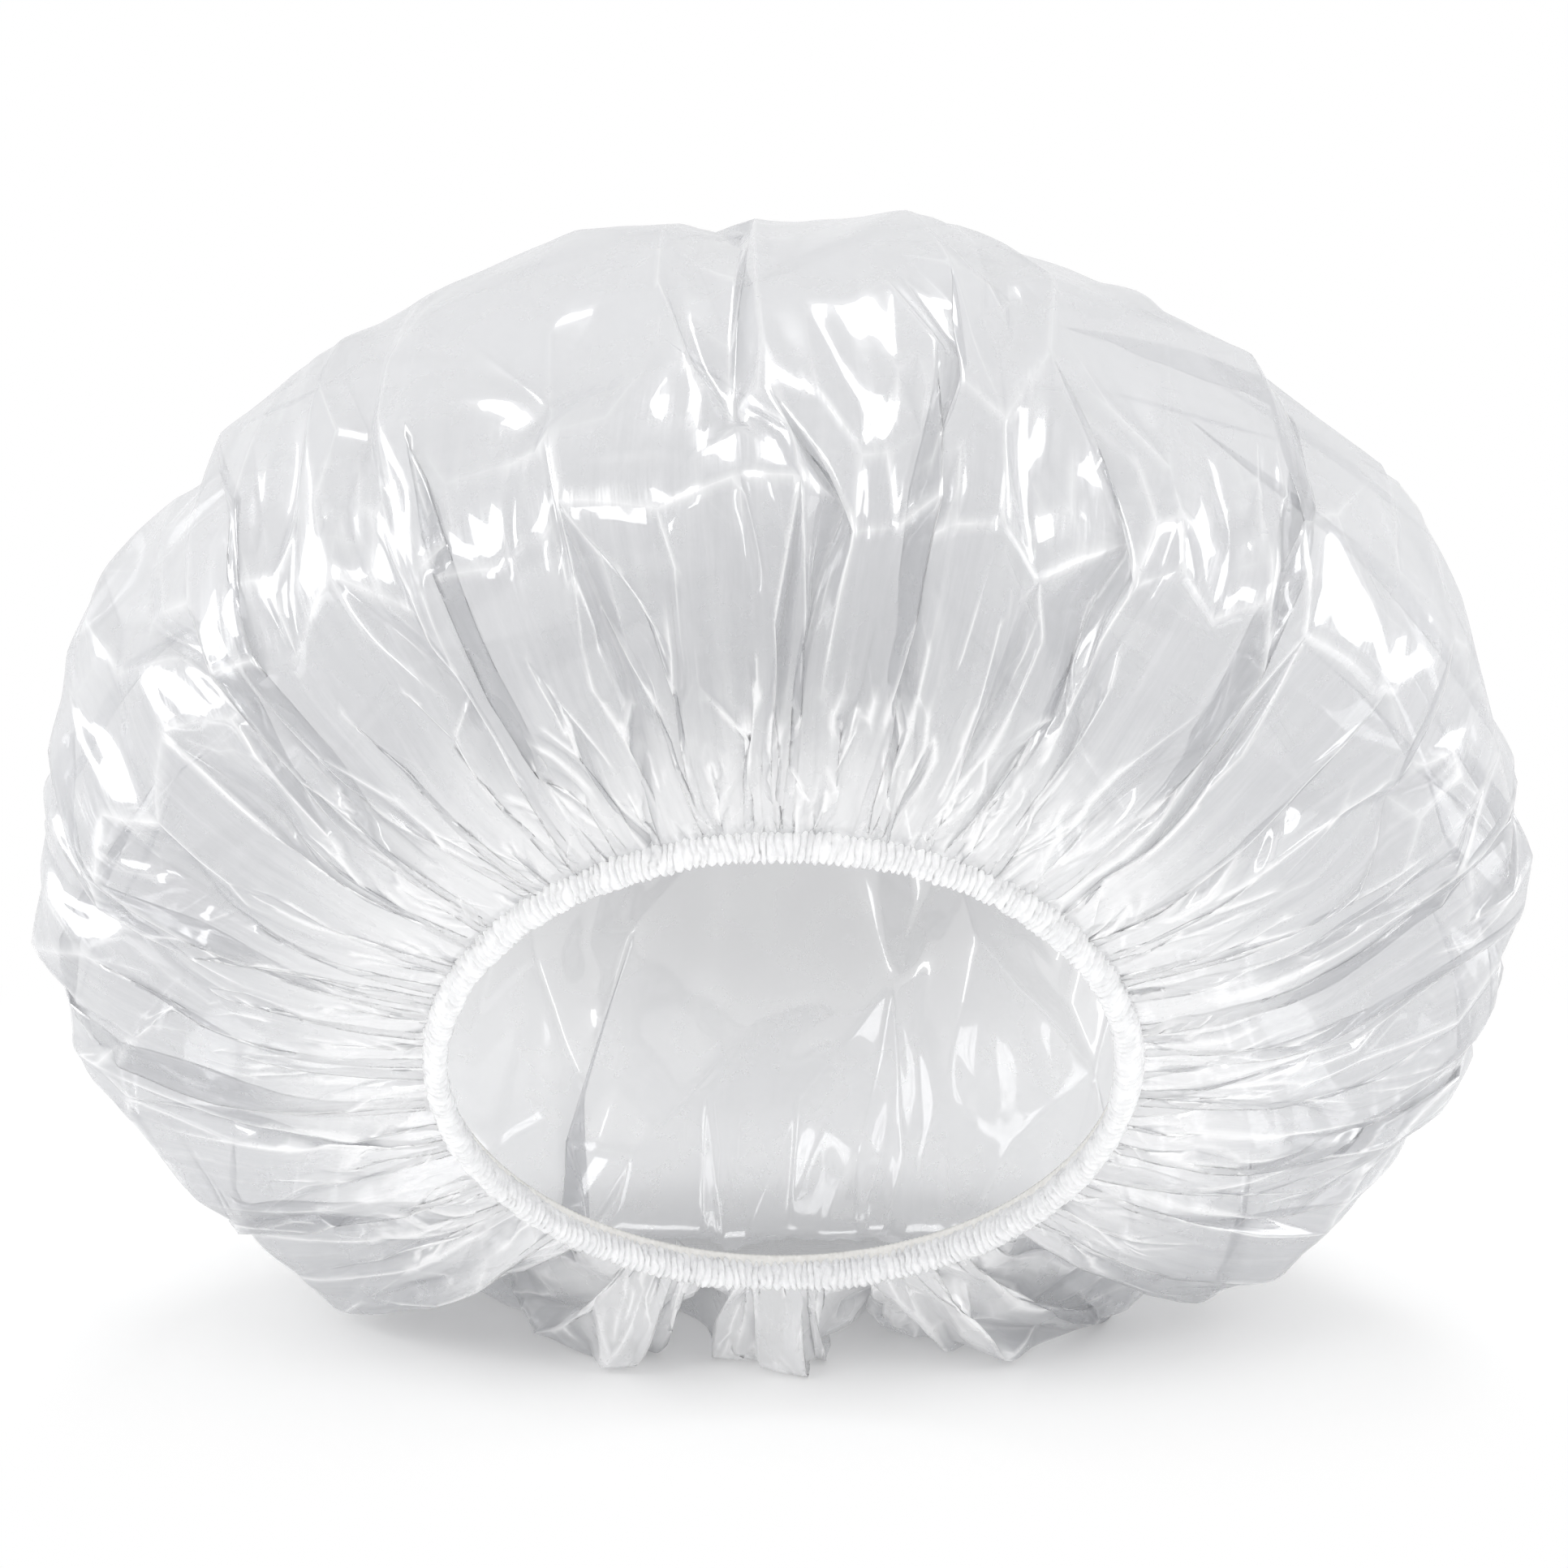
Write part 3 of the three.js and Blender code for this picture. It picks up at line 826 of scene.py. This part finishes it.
from_middle = distance(clear, disc_map, DISC_MIDDLE)
gather_mask = mask(clear, from_middle, 0.42, 0.49)
skirt_mask = mask(clear, from_middle, 0.30, 0.42)
# Painted shade: the crown behind the opening is made greyer and a little denser
crown_painted_shade_mask = mask(clear, distance(clear, disc_map, SHADE_MIDDLE), 0.14, 0.04)
low_edge = clear.node("ShaderNodeSeparateXYZ", sockets={0: disc_map}, out="Y")
# The frill is whiter for its many layers and also by painted light that lifts it out of its shadow
frill_layers_and_painted_light = mask(clear, low_edge, 0.88, 0.97)

spoke = clear.node("ShaderNodeVectorMath", {"operation": "SUBTRACT"}, {0: disc_map, 1: DISC_MIDDLE})
spoke = clear.node("ShaderNodeVectorMath", {"operation": "NORMALIZE"}, {0: spoke})
spoke_place = clear.node("ShaderNodeVectorMath", {"operation": "MULTIPLY_ADD"}, {
    0: disc_map, 1: STREAK_SQUEEZE, 2: spoke})
streak = noise(clear, spoke_place, scale=40.0, detail=3.0, roughness=0.55)
# The streaks dent the gloss and also paint lighter and darker lines up the skirt: painted highlight and
# shade
streak = (streak - 0.5) * skirt_mask
print("film masks:", len(clear.tree.nodes), "nodes")

# %% [markdown]
# A mix of a transparent and a glossy surface makes the film. Creases are painted whiter, a painted
# highlight, and hollows greyer, a painted shade. The haze clouds the gloss, and the crinkle and the
# streaks dent it. The film is more opaque where it is seen edge on, where layers lie on each other,
# and for the light that falls through it.

# %% Clear film finish
dents = clear.node("ShaderNodeBump", sockets={
    "Strength": 0.12, "Distance": 0.0005, "Height": crinkle})
dents = clear.node("ShaderNodeBump", sockets={
    "Strength": 0.5, "Distance": 0.0012, "Height": streak, "Normal": dents})
# Painted highlight along the creases and painted shade in the hollows, from the film's bends
crease_painted_highlight = (0.13 + 0.45 * skirt_mask + 0.25 * gather_mask) * crease_line ** 2.0
hollow_painted_shade = (0.08 + 0.20 * skirt_mask) * valley_line ** 2.0
# Painted shade: the skirt is a little greyer and the crown behind the opening greyer; painted light
# lifts the frill
white_share = 0.62 - 0.21 * skirt_mask + 0.56 * gather_mask + 0.62 * frill_layers_and_painted_light - 0.66 * crown_painted_shade_mask
white_share = white_share + crease_painted_highlight - hollow_painted_shade + 0.70 * streak
film_tone = clear.node("ShaderNodeValToRGB", {"stops": [
    (0.0, (0.310, 0.315, 0.332, 1.0)), (0.42, (0.450, 0.456, 0.478, 1.0)),
    (1.0, (0.95, 0.952, 0.96, 1.0))]}, {"Fac": white_share})
film_surface = clear.node("ShaderNodeBsdfPrincipled", sockets={
    "Base Color": film_tone,
    "Roughness": 0.20 + 0.16 * haze,
    "IOR": 2.4,
    "Coat Weight": 1.0 - 0.95 * facing ** 3.0,
    "Coat Roughness": 0.04,
    "Coat IOR": 2.2,
    "Normal": dents,
})
film_clear = clear.node("ShaderNodeBsdfTransparent", sockets={"Color": (0.975, 0.978, 0.985, 1.0)})
film_share = 0.42 + 0.10 * haze + 0.40 * facing ** 6.0
film_share = film_share + 0.12 * gather_mask + 0.14 * crown_painted_shade_mask + 0.5 * crease_painted_highlight
in_shadow = clear.node("ShaderNodeLightPath", out="Is Shadow Ray")
film_mix = clear.node("ShaderNodeMixShader", sockets={
    0: film_share + 0.22 * in_shadow, 1: film_clear, 2: film_surface})
clear_material = clear.show(film_mix)

# %% [markdown]
# The film's mesh carries its place on the flat disc as a map, and its bends as two values per point.

# %% Film piece
CREASE_FROM, CREASE_SPAN = math.radians(5), math.radians(24)
VALLEY_FROM, VALLEY_SPAN = math.radians(4), math.radians(26)

film_mesh = bpy.data.meshes.new("film_cap")
film_mesh.from_pydata(film_points.tolist(), [], film_faces.tolist())
film_mesh.materials.append(clear_material)
film_mesh.shade_smooth()
disc_layer = film_mesh.uv_layers.new(name="disc")
disc_places = film_flat[film_faces.ravel()] / (2 * FILM_RADIUS) + 0.5
disc_layer.data.foreach_set("uv", disc_places.ravel())
film_bends = {
    "crease": (film_ridge - CREASE_FROM) / CREASE_SPAN,
    "valley": (-film_hollow - VALLEY_FROM) / VALLEY_SPAN,
}
for name, values in film_bends.items():
    layer = film_mesh.attributes.new(name, "FLOAT", "POINT")
    layer.data.foreach_set("value", np.clip(values, 0, 1))
film = bpy.data.objects.new("film_cap", film_mesh)
scene.collection.objects.link(film)
print("film piece:", len(film_mesh.vertices), "points")

# %% [markdown]
# Geometry Nodes trees are written as sums too. Each has named inputs, which are set by their
# identifiers, and ends with its instances made real and its material set.

# %% Trees of Geometry Nodes
class Nodes:
    def __init__(self, name, inputs):
        self.tree = bpy.data.node_groups.new(name, "GeometryNodeTree")
        self.tree.interface.new_socket("Geometry", in_out="INPUT", socket_type="NodeSocketGeometry")
        self.names = {}
        for title, value in inputs.items():
            kind = "NodeSocketInt" if isinstance(value, int) else "NodeSocketFloat"
            made = self.tree.interface.new_socket(title, in_out="INPUT", socket_type=kind)
            made.default_value = value
            self.names[title] = made.identifier
        self.tree.interface.new_socket("Geometry", in_out="OUTPUT", socket_type="NodeSocketGeometry")
        self.start = self.tree.nodes.new("NodeGroupInput")
        self.values = inputs

    def value(self, title):
        return Wire(self.tree, self.start.outputs[title])

    def node(self, kind, settings=None, sockets=None, out=0):
        return add_node(self.tree, kind, settings, sockets, out)

    def captured(self, geometry, value):
        node = self.tree.nodes.new("GeometryNodeCaptureAttribute")
        node.capture_items.new("FLOAT", "kept")
        self.tree.links.new(geometry.socket, node.inputs["Geometry"])
        self.tree.links.new(value.socket, node.inputs["kept"])
        return Wire(self.tree, node.outputs["Geometry"]), Wire(self.tree, node.outputs["kept"])

    def pushed(self, geometry, size):
        normal = self.node("GeometryNodeInputNormal")
        offset = self.node("ShaderNodeVectorMath", {"operation": "SCALE"}, {
            "Vector": normal, "Scale": size})
        return self.node("GeometryNodeSetPosition", sockets={"Geometry": geometry, "Offset": offset})

    def finish(self, geometry, material):
        whole = self.node("GeometryNodeRealizeInstances", sockets={"Geometry": geometry})
        painted = self.node("GeometryNodeSetMaterial", sockets={"Geometry": whole, "Material": material})
        self.node("NodeGroupOutput", sockets={"Geometry": painted})

    def piece(self, name, placing):
        holder = bpy.data.objects.new(name, bpy.data.meshes.new(name))
        scene.collection.objects.link(holder)
        modifier = holder.modifiers.new(name, "NODES")
        modifier.node_group = self.tree
        for title, identifier in self.names.items():
            modifier[identifier] = self.values[title]
        evaluated = holder.evaluated_get(bpy.context.evaluated_depsgraph_get())
        mesh = bpy.data.meshes.new_from_object(evaluated)
        holder.modifiers.clear()
        mesh.transform(placing)
        mesh.shade_smooth()
        mesh.name = name
        holder.data = mesh
        print(name, len(mesh.vertices), "points")
        return holder


WHOLE_TURN = 2 * math.pi
placing = Matrix.Translation(RING_CENTRE) @ Matrix.Rotation(LEAN - math.pi / 2, 4, "X")


def sine(value):
    return value.math("SINE", value, 0.0)


def cosine(value):
    return value.math("COSINE", value, 0.0)


def size_of(value):
    return value.math("ABSOLUTE", value, 0.0)


# %% [markdown]
# The hem is the folded edge of the same film, squeezed into about three hundred gathers round the
# elastic. Many layers of clear film on each other read as white.

# %% Hem finish
gathered = Finish("gathered_film")
hem_place = gathered.node("ShaderNodeTexCoord", out="Object")
layers = noise(gathered, hem_place, scale=420.0, detail=3.0)
threads = noise(gathered, hem_place, scale=1500.0, detail=2.0)
hem_tone = gathered.node("ShaderNodeValToRGB", {"stops": [
    (0.30, (0.86, 0.864, 0.873, 1.0)), (0.62, (0.96, 0.962, 0.967, 1.0))]}, {"Fac": layers})
hem_dents = gathered.node("ShaderNodeBump", sockets={
    "Strength": 0.4, "Distance": 0.0003, "Height": threads})
hem_surface = gathered.node("ShaderNodeBsdfPrincipled", sockets={
    "Base Color": hem_tone,
    "Roughness": 0.16 + 0.25 * layers,
    "IOR": 1.5,
    "Normal": hem_dents,
})
gathered_material = gathered.show(hem_surface)

# %% [markdown]
# Each gather is a rib across a flat, tilted band. Geometry Nodes sweep an oval round the ring and
# push the skin out in ribs, with noise so that no two are alike; at the splice it is smooth.

# %% Gathered hem
BAND_POINTS = 20
BAND_FLATNESS = 0.56
BAND_TILT = 0.28
BAND_SHIFT = 0.0023
BAND_OUTWARD = 0.0004
# Half angles at the splice, where its swell sets in and where it is whole
SPLICE_FAR, SPLICE_NEAR = 0.20, 0.09

hem_nodes = Nodes("gathered_hem", {
    "Ring Radius": RING_RADIUS + BAND_OUTWARD, "Tube Radius": 0.0029, "Ribs": 290, "Points Per Rib": 6,
    "Rib Height": 0.0008, "Wander": 8.0, "Splice Swell": 0.0007})
ring_points = hem_nodes.value("Ribs") * hem_nodes.value("Points Per Rib")
ring = hem_nodes.node("GeometryNodeCurvePrimitiveCircle", {"mode": "RADIUS"}, {
    "Resolution": ring_points, "Radius": hem_nodes.value("Ring Radius")})
ring, turn = hem_nodes.captured(ring, hem_nodes.node("GeometryNodeSplineParameter"))
oval = hem_nodes.node("GeometryNodeCurvePrimitiveCircle", {"mode": "RADIUS"}, {
    "Resolution": BAND_POINTS, "Radius": hem_nodes.value("Tube Radius")})
oval, roll = hem_nodes.captured(oval, hem_nodes.node("GeometryNodeSplineParameter"))
oval = hem_nodes.node("GeometryNodeTransform", sockets={
    "Geometry": oval, "Scale": (BAND_FLATNESS, 1.0, 1.0),
    "Rotation": (0.0, 0.0, BAND_TILT), "Translation": (0.0, BAND_SHIFT, 0.0)})
tube = hem_nodes.node("GeometryNodeCurveToMesh", sockets={"Curve": ring, "Profile Curve": oval})
spot = hem_nodes.node("GeometryNodeInputPosition")
waver = noise(hem_nodes, spot, scale=260.0, detail=2.0)
uneven = noise(hem_nodes, spot, scale=610.0, detail=1.0)
lumps = noise(hem_nodes, spot, scale=95.0, detail=2.0)
phase = hem_nodes.value("Ribs") * turn * (WHOLE_TURN / 2) + hem_nodes.value("Wander") * waver
phase = phase + 0.5 * sine(roll * WHOLE_TURN)
rib = size_of(sine(phase)) * (0.35 + 1.3 * uneven) - 0.4
from_splice = cosine(turn * WHOLE_TURN)
at_splice = mask(hem_nodes, from_splice, math.cos(SPLICE_FAR), math.cos(SPLICE_NEAR))
push = hem_nodes.value("Rib Height") * (rib + 1.5 * (lumps - 0.5)) * (1 - 0.85 * at_splice)
push = push + hem_nodes.value("Splice Swell") * at_splice
hem_nodes.finish(hem_nodes.pushed(tube, push), gathered_material)
hem = hem_nodes.piece("gathered_hem", placing)

# %% [markdown]
# Inside the hem runs a flat knitted elastic. It is one band whose ends pass each other by 16 mm,
# so it is swept as one turn and a little more, on a radius that grows by twice its thickness.

# %% Elastic finish
knitted = Finish("knitted_elastic")
thread_place = knitted.node("ShaderNodeTexCoord", out="Object")
thread_fuzz = noise(knitted, thread_place, scale=900.0, detail=4.0)
knit_tone = knitted.node("ShaderNodeValToRGB", {"stops": [
    (0.25, (0.80, 0.785, 0.75, 1.0)), (0.70, (0.93, 0.92, 0.89, 1.0))]}, {"Fac": thread_fuzz})
knit_bump = knitted.node("ShaderNodeBump", sockets={
    "Strength": 0.6, "Distance": 0.0003, "Height": thread_fuzz})
knit_surface = knitted.node("ShaderNodeBsdfPrincipled", sockets={
    "Base Color": knit_tone,
    "Roughness": 0.75 + 0.2 * thread_fuzz,
    "Sheen Weight": 0.3,
    "Normal": knit_bump,
})
knitted_material = knitted.show(knit_surface)

# %% Elastic
ELASTIC_LAP = 0.016
POINTS_PER_COURSE = 4
SECTION_POINTS = 16

band_nodes = Nodes("knitted_band", {
    "Ring Radius": RING_RADIUS, "Lap Angle": ELASTIC_LAP / RING_RADIUS, "Lap Spread": 0.0009,
    "Width": 0.0029, "Thickness": 0.00045, "Courses": 420, "Course Height": 0.00012})
line = band_nodes.node("GeometryNodeCurvePrimitiveLine", sockets={"End": (1.0, 0.0, 0.0)})
line = band_nodes.node("GeometryNodeResampleCurve", sockets={
    "Curve": line, "Count": band_nodes.value("Courses") * POINTS_PER_COURSE})
share = band_nodes.node("GeometryNodeSplineParameter")
lap_angle = band_nodes.value("Lap Angle")
band_angle = share * (WHOLE_TURN + lap_angle) - 0.5 * lap_angle
band_radius = band_nodes.value("Ring Radius") + (share - 0.5) * band_nodes.value("Lap Spread")
band_spot = band_nodes.node("ShaderNodeCombineXYZ", sockets={
    "X": band_radius * cosine(band_angle), "Y": band_radius * sine(band_angle)})
line = band_nodes.node("GeometryNodeSetPosition", sockets={"Geometry": line, "Position": band_spot})
line, course = band_nodes.captured(line, share)
section = band_nodes.node("GeometryNodeCurvePrimitiveQuadrilateral", sockets={
    "Width": band_nodes.value("Thickness"), "Height": band_nodes.value("Width")})
section = band_nodes.node("GeometryNodeResampleCurve", sockets={
    "Curve": section, "Count": SECTION_POINTS})
band = band_nodes.node("GeometryNodeCurveToMesh", sockets={
    "Curve": line, "Profile Curve": section, "Fill Caps": True})
stitch = size_of(sine(course * band_nodes.value("Courses") * math.pi)) - 0.5
lift = stitch * band_nodes.value("Course Height")
band_nodes.finish(band_nodes.pushed(band, lift), knitted_material)
elastic = band_nodes.piece("knitted_elastic", placing)

# %% [markdown]
# A short wrap of tape holds the lapped ends. Its CAD solid is right, so it stays and only gets a
# satin finish with the faint ripples of tape that was pulled tight.

# %% Splice tape
tape = Finish("splice_tape")
tape_place = tape.node("ShaderNodeTexCoord", out="Object")
ripple = noise(tape, tape_place, scale=700.0, detail=2.0)
tape_bump = tape.node("ShaderNodeBump", sockets={
    "Strength": 0.3, "Distance": 0.0002, "Height": ripple})
tape_surface = tape.node("ShaderNodeBsdfPrincipled", sockets={
    "Base Color": (0.86, 0.865, 0.875, 1.0),
    "Roughness": 0.2 + 0.2 * ripple,
    "Normal": tape_bump,
})
tape_material = tape.show(tape_surface)
splice = frame["nodes"]["elastic_splice"]
splice.data.materials.clear()
splice.data.materials.append(tape_material)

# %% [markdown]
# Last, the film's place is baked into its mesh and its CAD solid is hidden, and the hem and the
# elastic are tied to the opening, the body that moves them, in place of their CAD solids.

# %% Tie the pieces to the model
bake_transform(film)
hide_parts("crown_film")
ridden = (
    (hem, "hem_casing", "gathered_film"),
    (elastic, "elastic_band", "knitted_elastic"),
)
for piece, node, slot in ridden:
    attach(piece, "opening")
    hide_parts(node)
